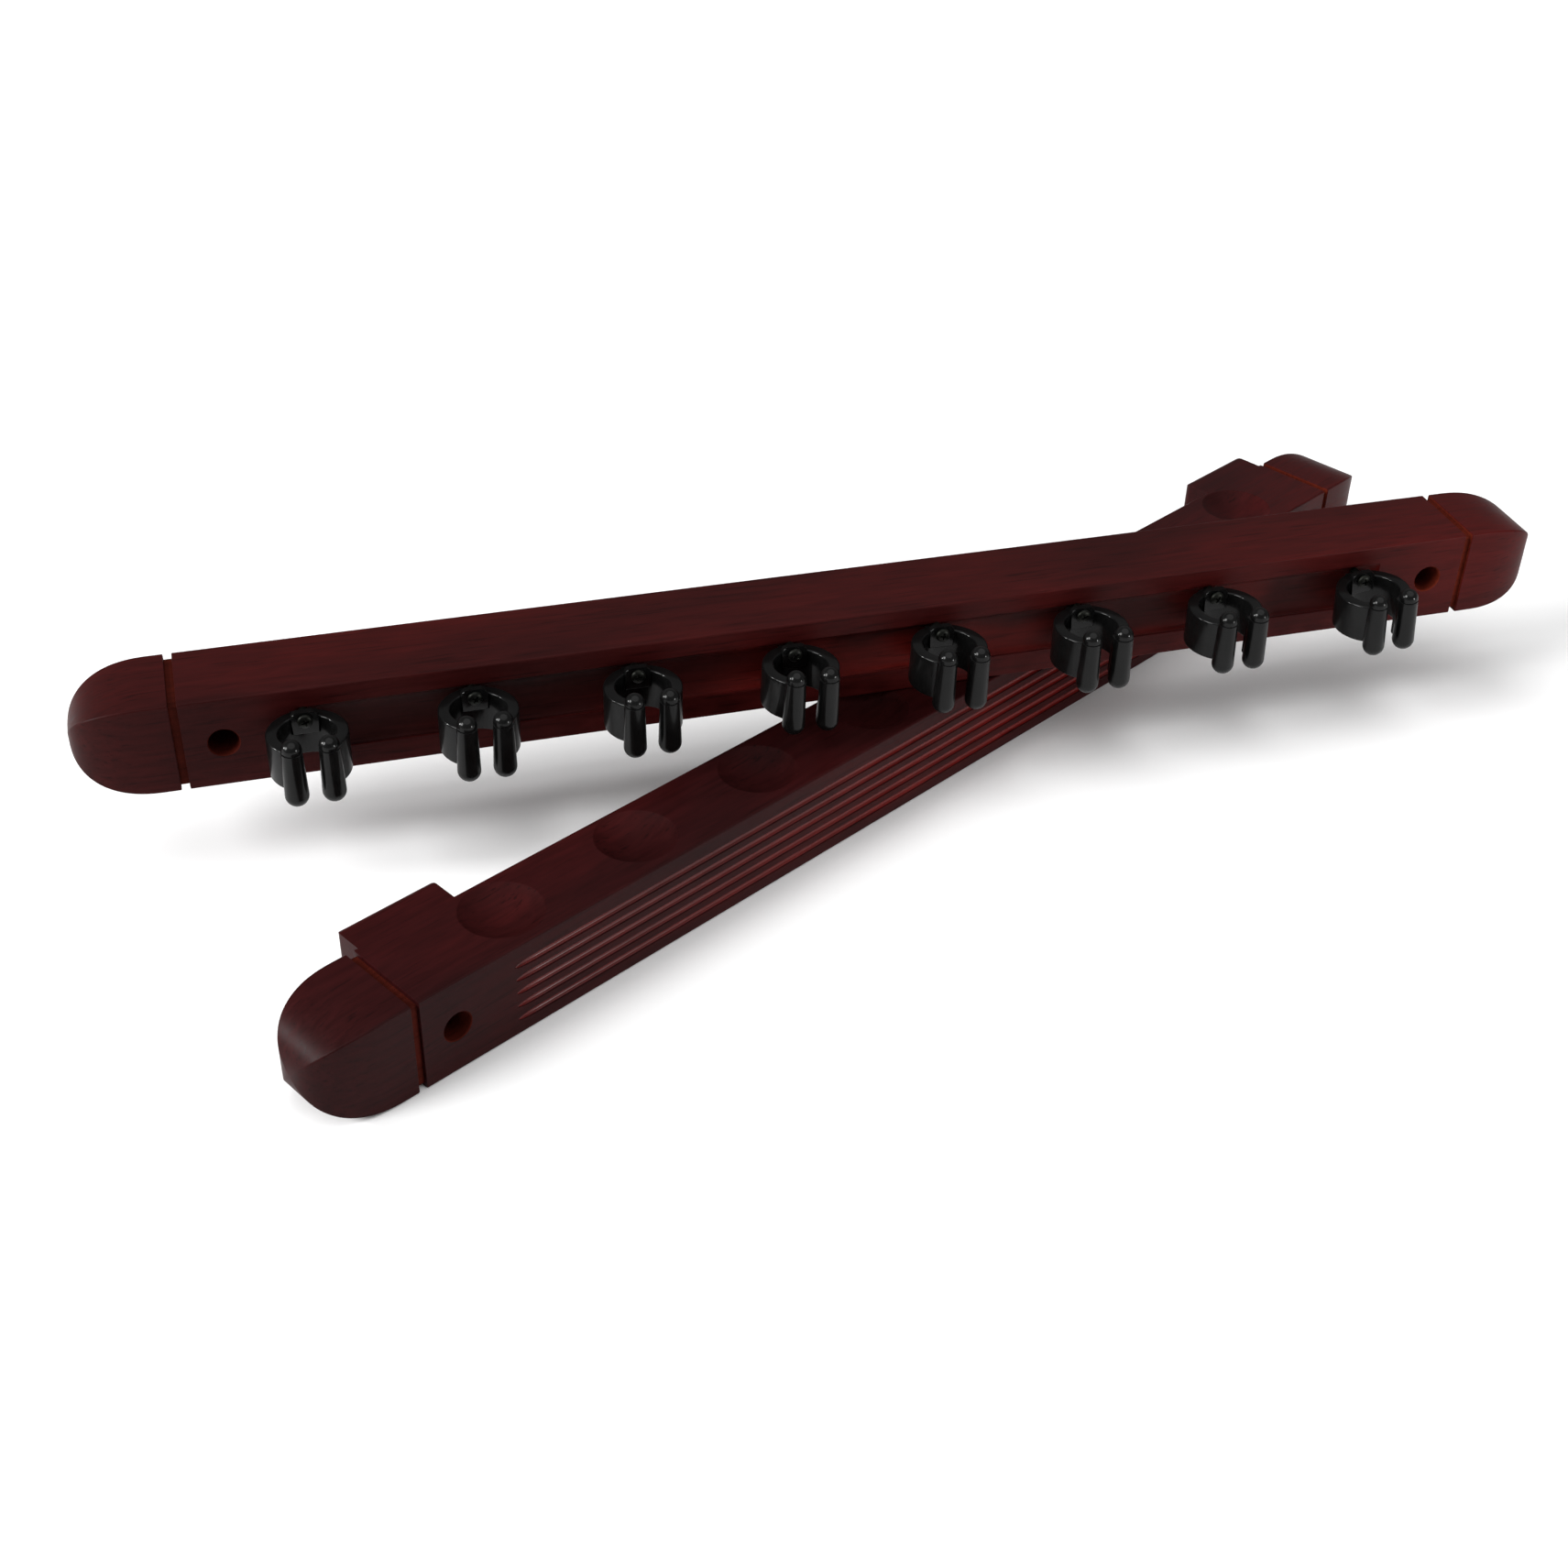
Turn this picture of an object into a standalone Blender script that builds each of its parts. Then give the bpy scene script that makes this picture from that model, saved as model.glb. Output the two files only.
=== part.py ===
# Two-piece wall cue rack: a cup rail lying on its underside with a clip rail laid level across it.
# Metres, +Z up. The cup rail runs along X and its fluted front faces -Y. The origin is on the
# surface the rack lies on, under the middle of the whole object.
import math

import bmesh
import bpy
from mathutils import Vector

MM = 0.001
GAP = 0.3 * MM                    # kept between pieces that touch

# rails: a body between two grooves, and a domed nose beyond each groove
RAIL_LENGTH = 544.0 * MM          # body, groove to groove
RAIL_DEPTH = 38.2 * MM
CUP_RAIL_HEIGHT = 40.0 * MM
CLIP_RAIL_HEIGHT = 39.0 * MM
ARRIS = 0.9 * MM                  # eased long edges
GROOVE_WIDTH = 3.2 * MM
GROOVE_DEPTH = 1.7 * MM
NOSE_STRAIGHT = 5.7 * MM          # straight part of the nose beyond the groove
NOSE_CURVE = 32.8 * MM            # length of the domed part
NOSE_FULLNESS = 2.35              # exponent of the superellipse that the dome follows; 2 is an ellipse
NOSE_STEPS = 10
NOSE_LAST = 88.5                  # degrees; the dome ends in a small flat

# cup rail, measured from its left body end, front face and underside
CUP_COUNT = 8
CUP_FIRST = 51.7 * MM
CUP_PITCH = 63.9 * MM
CUP_FROM_FRONT = 20.4 * MM
CUP_RADIUS = 16.0 * MM
CUP_DEPTH = 4.6 * MM
CUP_SEGMENTS = 24
FLUTE_COUNT = 5
FLUTE_LOWEST = 7.0 * MM
FLUTE_PITCH = 6.1 * MM
FLUTE_RADIUS = 1.7 * MM
FLUTE_PROUD = 0.15 * MM           # the flutes' axes stand this far in front of the face
FLUTE_START = 41.0 * MM
FLUTE_RUNOUT = 11.0 * MM

# spacers that stand the cup rail off the wall
SPACER_START = 1.7 * MM
SPACER_WIDTH = 42.0 * MM
SPACER_THICK = 13.5 * MM
SPACER_ROUND = 1.4 * MM

# bores for the wall screws
BORE_FROM_END = 15.0 * MM
BORE_RADIUS = 5.9 * MM
BORE_DEPTH = 22.0 * MM
SHANK_RADIUS = 1.9 * MM

# where the two rails stand
FRAME_Y = -25.18 * MM             # cup rail's middle line, from the origin
CLIP_RAIL_TURN = math.radians(-28.63)
CLIP_RAIL_CORNER = Vector((-262.4, 138.9)) * MM   # clip rail's front left corner, from the cup rail's middle

# clip rail, measured from its left body end
CLIP_HEIGHT = 29.4 * MM           # the clips' screws, above the rail's underside
CLIP_PLACES = (45.7, 110.3, 174.6, 238.7, 301.2, 362.9, 423.2, 492.4)    # mm, as fixed: not quite even
CLIP_ROLLS = (-0.3, -1.0, -0.4, -1.6, -1.4, 0.2, 1.1, 4.5)               # degrees about each screw
CLIP_DROPS = (0.0, 0.0, 0.0, 0.0, 0.0, 0.0, 0.0, 1.4)                    # mm, below the common height
CHANNEL_START = 43.0 * MM
CHANNEL_LOW = 10.2 * MM
CHANNEL_HIGH = 30.7 * MM
CHANNEL_DEPTH = 2.6 * MM
CHANNEL_STEP = 0.8 * MM           # square step along the channel's lower edge
CHANNEL_RUNOUT = 9.0 * MM

# clip, measured from its screw's axis at the face of the rail
RING_OUTER = 15.5 * MM
RING_INNER = 10.8 * MM
RING_Y = -15.85 * MM
RING_LOW = -16.4 * MM
RING_HIGH = 0.8 * MM
RING_ROUND = 0.5 * MM
RING_SEGMENTS = 32
BLOCK_WIDTH = 10.4 * MM
BLOCK_FRONT = -7.2 * MM
BLOCK_BACK = -4.6 * MM
BLOCK_LOW = -6.2 * MM
BLOCK_HIGH = 4.9 * MM
PAD_FRONT = -2.4 * MM
PRONG_X = 6.9 * MM
PRONG_Y = -32.2 * MM
PRONG_HIGH = 8.3 * MM
PRONG_LOW = -20.3 * MM
PRONG_TOP_RADIUS = 3.9 * MM
PRONG_FOOT_RADIUS = 4.65 * MM
PRONG_SEAM = 3.7 * MM
PRONG_SEGMENTS = 14

# clip screws
SCREW_RADIUS = 1.75 * MM
SCREW_LENGTH = 17.0 * MM
HEAD_RADIUS = 3.4 * MM
HEAD_THICK = 1.8 * MM
HEAD_EDGE = 0.5 * MM
RECESS_REACH = 2.2 * MM
RECESS_WIDTH = 0.85 * MM
RECESS_DEPTH = 1.1 * MM


def make_collection(name):
    collection = bpy.data.collections.new(name)
    bpy.context.scene.collection.children.link(collection)
    return collection


def material(name, colour, roughness, metallic=0.0):
    made = bpy.data.materials.new(name)
    made.use_nodes = True
    shader = made.node_tree.nodes["Principled BSDF"]
    shader.inputs["Base Color"].default_value = (*colour, 1.0)
    shader.inputs["Roughness"].default_value = roughness
    shader.inputs["Metallic"].default_value = metallic
    return made


def object_from(name, mesh, collection, parent=None):
    made = bpy.data.objects.new(name, mesh)
    collection.objects.link(made)
    made.parent = parent
    return made


def empty(name, location, turn, parent=None):
    made = object_from(name, None, RACK, parent)
    made.location = location
    made.rotation_euler = (0, 0, turn)
    return made


def mesh_from(name, bm):
    """Close the bmesh off as a mesh with its faces pointing out."""
    bmesh.ops.remove_doubles(bm, verts=bm.verts, dist=0.0005 * MM)
    bmesh.ops.recalc_face_normals(bm, faces=bm.faces)
    mesh = bpy.data.meshes.new(name)
    bm.to_mesh(mesh)
    bm.free()
    return mesh


def box(name, low, high, collection, parent=None):
    bm = bmesh.new()
    bmesh.ops.create_cube(bm, size=1.0)
    low = Vector(low)
    high = Vector(high)
    for vert in bm.verts:
        vert.co = low + (vert.co + Vector((0.5, 0.5, 0.5))) * (high - low)
    return object_from(name, mesh_from(name, bm), collection, parent)


def rod(name, radius, depth, segments, collection, parent=None):
    """Upright cylinder about its own middle."""
    bm = bmesh.new()
    bmesh.ops.create_cone(bm, cap_ends=True, segments=segments, radius1=radius, radius2=radius, depth=depth)
    return object_from(name, mesh_from(name, bm), collection, parent)


def turned(name, profile, segments, collection, parent=None):
    """Profile of (radius, height) from top to bottom, turned about Z; a profile clear of Z ends where it began."""
    bm = bmesh.new()
    ring = profile[0] == profile[-1]
    verts = [bm.verts.new((radius, 0, height)) for radius, height in (profile[:-1] if ring else profile)]
    for first, second in zip(verts, verts[1:]):
        bm.edges.new((first, second))
    if ring:
        bm.edges.new((verts[-1], verts[0]))
    mesh = bpy.data.meshes.new(name)
    bm.to_mesh(mesh)
    bm.free()
    made = object_from(name, mesh, collection, parent)
    screw = made.modifiers.new("turn", "SCREW")
    screw.steps = segments
    screw.render_steps = segments
    screw.use_merge_vertices = True
    screw.merge_threshold = 0.001 * MM
    return made


def loft(name, rings, collection, parent=None):
    """Solid through rings of points, for sections that change along their length."""
    bm = bmesh.new()
    rows = [[bm.verts.new(point) for point in ring] for ring in rings]
    for row, following in zip(rows, rows[1:]):
        for i in range(len(row)):
            j = (i + 1) % len(row)
            bm.faces.new((row[i], row[j], following[j], following[i]))
    bm.faces.new(rows[0])
    bm.faces.new(rows[-1])
    return object_from(name, mesh_from(name, bm), collection, parent)


def make_guide(guide):
    guide.display_type = "WIRE"
    guide.hide_render = True


def boolean(target, operand, operation="DIFFERENCE"):
    modifier = target.modifiers.new(operation.lower(), "BOOLEAN")
    modifier.operation = operation
    modifier.solver = "EXACT"
    modifier.object = operand
    make_guide(operand)


def finished_mesh(source, name, smooth_angle):
    """The mesh of a guide with its modifiers, where the guide stands."""
    depsgraph = bpy.context.evaluated_depsgraph_get()
    mesh = bpy.data.meshes.new_from_object(source.evaluated_get(depsgraph))
    mesh.name = name
    mesh.transform(source.matrix_basis)
    mesh.shade_smooth()
    mesh.set_sharp_from_angle(angle=math.radians(smooth_angle))
    make_guide(source)
    return mesh


def rail_section(x, inset_y, inset_z, height, arris):
    """Rectangle across the rail with eased corners."""
    corners = ((1, -1, -90), (1, 1, 0), (-1, 1, 90), (-1, -1, 180))
    half_y = RAIL_DEPTH / 2 - inset_y - arris
    half_z = height / 2 - inset_z - arris
    points = []
    for side_y, side_z, start in corners:
        for k in range(3):
            angle = math.radians(start + 45 * k)
            y = RAIL_DEPTH / 2 + side_y * half_y + arris * math.cos(angle)
            z = height / 2 + side_z * half_z + arris * math.sin(angle)
            points.append((x, y, z))
    return points


def rail(name, height, parent):
    """Rail with its body from x = 0 to RAIL_LENGTH, a groove and a square-domed nose at each end."""
    half = []
    for beyond, inset in ((-0.6 * MM, 0), (0, 0.5 * MM), (0, GROOVE_DEPTH), (GROOVE_WIDTH, GROOVE_DEPTH),
                          (GROOVE_WIDTH, 0.5 * MM), (GROOVE_WIDTH + 0.6 * MM, 0)):
        arris = ARRIS if inset < GROOVE_DEPTH else ARRIS / 2
        half.append(rail_section(RAIL_LENGTH + beyond, inset, inset, height, arris))
    start = RAIL_LENGTH + GROOVE_WIDTH + NOSE_STRAIGHT
    for k in range(NOSE_STEPS + 1):
        angle = math.radians(NOSE_LAST * k / NOSE_STEPS)
        share = math.cos(angle) ** (2 / NOSE_FULLNESS)
        along = math.sin(angle) ** (2 / NOSE_FULLNESS)
        inset_y = RAIL_DEPTH / 2 * (1 - share)
        inset_z = height / 2 * (1 - share)
        arris = min(ARRIS * share + 0.05 * MM, RAIL_DEPTH / 6 * share)
        half.append(rail_section(start + NOSE_CURVE * along, inset_y, inset_z, height, arris))
    mirrored = [[(RAIL_LENGTH - x, y, z) for x, y, z in ring] for ring in reversed(half)]
    made = loft(name, mirrored + half, RACK, parent)
    made.data.materials.append(WOOD)
    return made


def wall_screw_bore(target, x, height, parent):
    """Counterbored hole through the rail from front to back."""
    name = "%s_bore_%d" % (target.name, round(x / MM))
    front = -2 * MM
    back = RAIL_DEPTH + 2 * MM
    profile = [(0, -front), (BORE_RADIUS, -front), (BORE_RADIUS, -BORE_DEPTH), (SHANK_RADIUS, -BORE_DEPTH),
               (SHANK_RADIUS, -back), (0, -back)]
    cutter = turned(name, profile, 24, CUTTERS, parent)
    cutter.location = (x, 0, height / 2)
    cutter.rotation_euler = (math.radians(90), 0, 0)
    boolean(target, cutter)


def cup_cutter(name, parent):
    """Lens that cuts one shallow dish and stands a little proud of the top face."""
    sphere = (CUP_RADIUS ** 2 + CUP_DEPTH ** 2) / (2 * CUP_DEPTH)
    reach = math.asin(CUP_RADIUS / sphere)
    proud = 1 * MM
    profile = [(0, proud), (CUP_RADIUS, proud)]
    for k in range(4, -1, -1):
        angle = reach * k / 4
        profile.append((sphere * math.sin(angle), sphere - CUP_DEPTH - sphere * math.cos(angle)))
    return turned(name, profile, CUP_SEGMENTS, CUTTERS, parent)


def flute_cutter(name, parent):
    """Spindle with long pointed ends that cuts one round-bottomed flute."""
    half = RAIL_LENGTH / 2 - FLUTE_START
    bend = half - FLUTE_RUNOUT * 0.5
    profile = [(0, half), (FLUTE_RADIUS * 0.7, bend), (FLUTE_RADIUS, half - FLUTE_RUNOUT)]
    profile += [(radius, -height) for radius, height in reversed(profile)]
    return turned(name, profile, 10, CUTTERS, parent)


def cup_rail():
    made = rail("cup_rail", CUP_RAIL_HEIGHT, CUP_RAIL_FRAME)
    for i in range(CUP_COUNT):
        cutter = cup_cutter("cup_cutter_%d" % (i + 1), CUP_RAIL_FRAME)
        cutter.location = (CUP_FIRST + i * CUP_PITCH, CUP_FROM_FRONT, CUP_RAIL_HEIGHT)
        boolean(made, cutter)
    for i in range(FLUTE_COUNT):
        cutter = flute_cutter("flute_cutter_%d" % (i + 1), CUP_RAIL_FRAME)
        cutter.location = (RAIL_LENGTH / 2, -FLUTE_PROUD, FLUTE_LOWEST + i * FLUTE_PITCH)
        cutter.rotation_euler = (0, math.radians(90), 0)
        boolean(made, cutter)
    for x in (BORE_FROM_END, RAIL_LENGTH - BORE_FROM_END):
        wall_screw_bore(made, x, CUP_RAIL_HEIGHT, CUP_RAIL_FRAME)


def spacer(name, start, bore_x):
    """Block behind the cup rail with its two outer back edges rounded."""
    front = RAIL_DEPTH + GAP
    back = front + SPACER_THICK
    made = box(name, (start, front, 0), (start + SPACER_WIDTH, back, CUP_RAIL_HEIGHT), RACK, CUP_RAIL_FRAME)
    bm = bmesh.new()
    bm.from_mesh(made.data)
    corners = [edge for edge in bm.edges if all(vert.co.y > back - GAP for vert in edge.verts)
               and abs(edge.verts[0].co.x - edge.verts[1].co.x) < GAP]
    bmesh.ops.bevel(bm, geom=corners, offset=SPACER_ROUND, segments=3, profile=0.5, affect="EDGES")
    bm.to_mesh(made.data)
    bm.free()
    made.data.materials.append(WOOD)
    hole = rod(name + "_hole", SHANK_RADIUS, 3 * SPACER_THICK, 20, CUTTERS, CUP_RAIL_FRAME)
    hole.location = (bore_x, front + SPACER_THICK / 2, CUP_RAIL_HEIGHT / 2)
    hole.rotation_euler = (math.radians(90), 0, 0)
    boolean(made, hole)


def channel_cutter(parent):
    """Round-bottomed cove with a square step along its lower edge, fading out at both ends."""
    middle = (CHANNEL_LOW + CHANNEL_HIGH) / 2
    half = (CHANNEL_HIGH - CHANNEL_LOW) / 2
    stop = RAIL_LENGTH - CHANNEL_START + 3 * MM
    clear = -5 * MM
    rings = []
    for x, sunk in ((CHANNEL_START, 0.0), (CHANNEL_START + CHANNEL_RUNOUT * 0.45, 0.72),
                    (CHANNEL_START + CHANNEL_RUNOUT, 1.0), (stop - CHANNEL_RUNOUT, 1.0),
                    (stop - CHANNEL_RUNOUT * 0.45, 0.72), (stop, 0.0)):
        lift = (sunk - 1) * (CHANNEL_DEPTH + 0.02 * MM)
        ring = [(x, clear, middle + half), (x, lift + CHANNEL_STEP / 2, middle + half)]
        for k in range(1, 8):
            angle = math.pi * k / 8
            y = CHANNEL_STEP / 2 + (CHANNEL_DEPTH - CHANNEL_STEP / 2) * math.sin(angle) ** 0.8
            ring.append((x, lift + y, middle + half * math.cos(angle)))
        ring += [(x, lift + CHANNEL_STEP, middle - half), (x, clear, middle - half)]
        rings.append(ring)
    return loft("channel_cutter", rings, CUTTERS, parent)


def screw_place(i):
    """Where a clip's screw enters the face of the clip rail."""
    return Vector((CLIP_PLACES[i] * MM, 0, CLIP_HEIGHT - CLIP_DROPS[i] * MM))


def clip_rail():
    made = rail("clip_rail", CLIP_RAIL_HEIGHT, CLIP_RAIL_FRAME)
    boolean(made, channel_cutter(CLIP_RAIL_FRAME))
    for x in (BORE_FROM_END, RAIL_LENGTH - BORE_FROM_END):
        wall_screw_bore(made, x, CLIP_RAIL_HEIGHT, CLIP_RAIL_FRAME)
    deep = SCREW_LENGTH + BLOCK_FRONT + 1 * MM
    for i in range(len(CLIP_PLACES)):
        pilot = rod("pilot_%d" % (i + 1), SCREW_RADIUS + GAP, 2 * deep, 12, CUTTERS, CLIP_RAIL_FRAME)
        pilot.location = screw_place(i)
        pilot.rotation_euler = (math.radians(90), 0, 0)
        boolean(made, pilot)


def prong(name, side):
    """Bar with a rounded top and foot and a seam line round it under the top."""
    profile = [(0, PRONG_HIGH)]
    for k in (1, 2, 3):
        angle = math.radians(30 * k)
        profile.append((PRONG_TOP_RADIUS * math.sin(angle), PRONG_HIGH - PRONG_TOP_RADIUS * (1 - math.cos(angle))))
    for step, sunk in ((0.5 * MM, 0), (0, 0.25 * MM), (-0.5 * MM, 0)):
        profile.append((PRONG_TOP_RADIUS - sunk, PRONG_SEAM + step))
    for k in (3, 2, 1):
        angle = math.radians(30 * k)
        profile.append((PRONG_FOOT_RADIUS * math.sin(angle), PRONG_LOW + PRONG_FOOT_RADIUS * (1 - math.cos(angle))))
    profile.append((0, PRONG_LOW))
    made = turned(name, profile, PRONG_SEGMENTS, CUTTERS)
    made.location = (side * PRONG_X, PRONG_Y, 0)
    return made


def clip_mesh():
    """Ring open to the front, with two prongs at its mouth and a screw block inside its back."""
    low = RING_LOW
    high = RING_HIGH
    edge = RING_ROUND
    profile = [(RING_INNER, high - edge), (RING_INNER + edge, high), (RING_OUTER - edge, high),
               (RING_OUTER, high - edge), (RING_OUTER, low + edge), (RING_OUTER - edge, low),
               (RING_INNER + edge, low), (RING_INNER, low + edge), (RING_INNER, high - edge)]
    ring = turned("clip_ring", profile, RING_SEGMENTS, CUTTERS)
    ring.data.materials.append(PLASTIC)
    ring.location = (0, RING_Y, 0)
    half = BLOCK_WIDTH / 2
    pad = box("clip_pad", (-half, PAD_FRONT, low + edge), (half, -GAP, high - edge / 2), CUTTERS)
    block = box("clip_block", (-half, BLOCK_FRONT, BLOCK_LOW), (half, BLOCK_BACK, BLOCK_HIGH), CUTTERS)
    mouth_half = PRONG_X - PRONG_TOP_RADIUS / 2
    mouth = box("clip_mouth", (-mouth_half, RING_Y - 2 * RING_OUTER, 2 * low), (mouth_half, RING_Y, 2 * PRONG_HIGH),
                CUTTERS)
    hole = rod("clip_hole", SCREW_RADIUS + GAP, 4 * RING_OUTER, 16, CUTTERS)
    hole.rotation_euler = (math.radians(90), 0, 0)
    hole.location = (0, RING_OUTER, 0)
    boolean(ring, mouth)
    boolean(ring, pad, "UNION")
    boolean(ring, block, "UNION")
    boolean(ring, hole)
    for name, side in (("prong_left", -1), ("prong_right", 1)):
        boolean(ring, prong(name, side), "UNION")
    return finished_mesh(ring, "clip", 35)


def screw_mesh():
    """Pan head with a cross recess, on a plain pointed shank; the axis runs along Z, head up."""
    under = -BLOCK_FRONT + GAP
    top = under + HEAD_THICK
    profile = [(0, top), (HEAD_RADIUS * 0.3, top)]
    for k in (3, 2, 1):
        angle = math.radians(22.5 * k)
        profile.append((HEAD_RADIUS * (0.3 + 0.7 * math.cos(angle)),
                        under + HEAD_EDGE + (HEAD_THICK - HEAD_EDGE) * math.sin(angle)))
    profile += [(HEAD_RADIUS, under + HEAD_EDGE), (HEAD_RADIUS, under), (SCREW_RADIUS, under),
                (SCREW_RADIUS, under - SCREW_LENGTH + 3 * MM), (0, under - SCREW_LENGTH)]
    body = turned("screw_body", profile, 16, CUTTERS)
    body.data.materials.append(STEEL)
    for i, turn in enumerate((0, 90)):
        slot = box("screw_slot_%d" % i, (-RECESS_REACH, -RECESS_WIDTH / 2, top - RECESS_DEPTH),
                   (RECESS_REACH, RECESS_WIDTH / 2, top + 1 * MM), CUTTERS)
        slot.rotation_euler = (0, 0, math.radians(turn))
        boolean(body, slot)
    return finished_mesh(body, "screw", 35)


def clips_and_screws():
    shared_clip = clip_mesh()
    shared_screw = screw_mesh()
    for i, roll in enumerate(CLIP_ROLLS):
        clip = object_from("clip_%d" % (i + 1), shared_clip, RACK, CLIP_RAIL_FRAME)
        clip.location = screw_place(i)
        clip.rotation_euler = (0, math.radians(-roll), 0)
        screw = object_from("screw_%d" % (i + 1), shared_screw, RACK, CLIP_RAIL_FRAME)
        screw.location = screw_place(i)
        screw.rotation_euler = (math.radians(90), 0, 0)
        screw.rotation_euler.rotate_axis("Z", math.radians(20 + 37 * i))


for existing in list(bpy.data.objects):
    bpy.data.objects.remove(existing)
RACK = make_collection("wall_cue_rack")
CUTTERS = make_collection("cutters")
WOOD = material("stained_wood", (0.075, 0.014, 0.012), 0.35)
PLASTIC = material("black_plastic", (0.018, 0.018, 0.018), 0.35)
STEEL = material("dark_steel", (0.20, 0.20, 0.19), 0.35, 1.0)
CUP_RAIL_FRAME = empty("cup_rail_frame", (-RAIL_LENGTH / 2, FRAME_Y - RAIL_DEPTH / 2, 0), 0)
CLIP_RAIL_FRAME = empty("clip_rail_frame", (CLIP_RAIL_CORNER.x, FRAME_Y + CLIP_RAIL_CORNER.y, CUP_RAIL_HEIGHT + GAP),
                        CLIP_RAIL_TURN)
cup_rail()
spacer("spacer_left", SPACER_START, BORE_FROM_END)
spacer("spacer_right", RAIL_LENGTH - SPACER_START - SPACER_WIDTH, RAIL_LENGTH - BORE_FROM_END)
clip_rail()
clips_and_screws()
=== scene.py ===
# Looks for the two-piece wall cue rack: stained wood rails, moulded clips, screws, studio and camera.
import math

import bmesh
import bpy
from mathutils import Matrix, Vector


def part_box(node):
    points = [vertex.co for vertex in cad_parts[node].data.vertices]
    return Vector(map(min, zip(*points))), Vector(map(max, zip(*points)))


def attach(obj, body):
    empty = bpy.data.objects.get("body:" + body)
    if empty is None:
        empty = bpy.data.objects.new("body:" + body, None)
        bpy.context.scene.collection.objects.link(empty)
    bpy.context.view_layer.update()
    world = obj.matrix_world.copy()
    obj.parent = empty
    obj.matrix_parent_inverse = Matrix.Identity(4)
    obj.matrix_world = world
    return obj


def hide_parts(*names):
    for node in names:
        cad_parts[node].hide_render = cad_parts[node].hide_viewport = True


MM = 0.001

# rails and spacers
GROOVE_WIDTH = 3.2 * MM
GROOVE_DEPTH = 1.7 * MM
NOSE_STRAIGHT = 5.7 * MM
NOSE_FULLNESS = 2.35
NOSE_CURVE = 32.8 * MM
NOSE_STEPS = 30
NOSE_LAST = math.radians(89)
ARRIS = 0.9 * MM
ARRIS_STEPS = 4
GROOVE_EASE = 0.3 * MM
RELIEF_SEEN = 0.35 * MM
INNERMOST_PLACE = 20 * MM
RUNOUT_CROWDING = 1.6
BORE_FROM_END = 15.0 * MM
BORE_RADIUS = 5.9 * MM
BORE_DEPTH = 22.0 * MM
BORE_CHAMFER = 0.35 * MM
SHANK_RADIUS = 1.9 * MM
SPACER_ROUND = 3.8 * MM
SPACER_STEPS = 5
CUTTER_OVERRUN = 3 * MM
WOOD_SHARP = math.radians(40)

# cups and flutes of the cup rail
CUP_COUNT = 8
CUP_FIRST = 51.7 * MM
CUP_PITCH = 63.9 * MM
CUP_FROM_FRONT = 20.4 * MM
CUP_RADIUS = 16.0 * MM
CUP_DEPTH = 4.6 * MM
CUP_RIM = 1.3 * MM
CUP_RIM_START = math.radians(9)
CUP_RIM_STEPS = 5
CUP_STEPS = 14
FLUTE_COUNT = 5
FLUTE_LOWEST = 7.0 * MM
FLUTE_PITCH = 6.1 * MM
FLUTE_HALF = 1.65 * MM
FLUTE_DEPTH = 1.5 * MM
FLUTE_START = 41.0 * MM
FLUTE_RUNOUT = 11.0 * MM
FLUTE_NARROWEST = 0.05
FLUTE_FLATNESS = 2.4
FLUTE_STEEPNESS = 0.6
FLUTE_LIP = 0.03
FLUTE_REACH = 1.3
FLUTE_OFFSETS = (0.0, 0.3, 0.6, 0.8, 0.93, 1.0, 1.12, FLUTE_REACH)

# channel of the clip rail
CHANNEL_START = 43.0 * MM
CHANNEL_STOP_EXTRA = 3.0 * MM
CHANNEL_LOW = 10.2 * MM
CHANNEL_HIGH = 30.7 * MM
CHANNEL_DEPTH = 2.6 * MM
CHANNEL_STEP = 0.8 * MM
CHANNEL_RUNOUT = 9.0 * MM
CHANNEL_STEPS = 20
CHANNEL_FLOOR = 0.93
CHANNEL_FULLNESS = 0.8
CLIP_RAIL_TURN = math.radians(-28.63)

# clips and their screws; places and drops are in millimetres, rolls in degrees
CLIP_HEIGHT = 29.4 * MM
CLIP_PLACES = (45.7, 110.3, 174.6, 238.7, 301.2, 362.9, 423.2, 492.4)
CLIP_ROLLS = (-0.3, -1.0, -0.4, -1.6, -1.4, 0.2, 1.1, 4.5)
CLIP_DROPS = (0.0, 0.0, 0.0, 0.0, 0.0, 0.0, 0.0, 1.4)
RING_OUTER = 15.5 * MM
RING_INNER = 10.8 * MM
RING_Y = -15.85 * MM
RING_LOW = -16.4 * MM
RING_HIGH = 0.8 * MM
RING_ROUND = 0.7 * MM
PLATE_WIDTH = 10.4 * MM
PLATE_FRONT = -7.2 * MM
PLATE_BACK = -4.6 * MM
PLATE_LOW = -6.2 * MM
PLATE_HIGH = 3.5 * MM
PLATE_ROUND = 2.6 * MM
PLATE_EDGE = 0.45 * MM
PAD_FRONT = -2.4 * MM
PAD_BACK = -0.3 * MM
PAD_LOW = -15.9 * MM
PAD_HIGH = 0.6 * MM
PAD_ROUND = 0.3 * MM
PRONG_X = 6.9 * MM
PRONG_Y = -32.2 * MM
PRONG_HIGH = 8.3 * MM
PRONG_LOW = -20.3 * MM
PRONG_TOP_RADIUS = 3.9 * MM
PRONG_FOOT_RADIUS = 4.55 * MM
PRONG_SEAM = 3.7 * MM
PRONG_SEAM_DEPTH = 0.35 * MM
CLIP_SHARP = math.radians(40)
SCREW_RADIUS = 1.75 * MM
SCREW_LENGTH = 17.0 * MM
HEAD_RADIUS = 2.9 * MM
HEAD_THICK = 1.8 * MM
HEAD_EDGE = 0.5 * MM
HEAD_GAP = 0.3 * MM
HEAD_FLAT = 0.12
HEAD_STEPS = 9
RECESS_REACH = 2.3 * MM
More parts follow.
